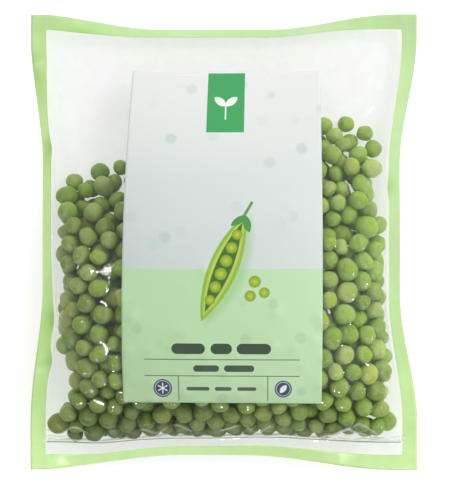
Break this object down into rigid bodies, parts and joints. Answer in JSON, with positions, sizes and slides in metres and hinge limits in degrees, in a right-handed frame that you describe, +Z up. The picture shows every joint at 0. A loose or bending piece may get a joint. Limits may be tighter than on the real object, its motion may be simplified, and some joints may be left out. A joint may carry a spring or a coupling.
{
  "type": "frozen vegetable bag",
  "caption": "Clear heat-sealed pillow bag of frozen green peas with a pale green border and a printed front panel, lying on its back.",
  "frame": {"origin": "middle of the outline seen from above, on the surface that the bag lies on", "axes": "+Z up through the printed face, +Y along the bag towards its slack end, +X across it to the right of the print"},
  "size_m": [0.178, 0.21, 0.0482],
  "materials": {
    "filled_pouch": "glossy clear film over green peas, as one colour",
    "clear_film": "glossy, slightly hazy plastic film",
    "border_print": "glossy pale green print on film",
    "panel_print": "satin print on film, greyish white above and light green below",
    "peas": "satin, slightly wrinkled green skins"
  },
  "bodies": {
    "root": {"pea_pouch": "filled_pouch"}
  },
  "joints": []
}
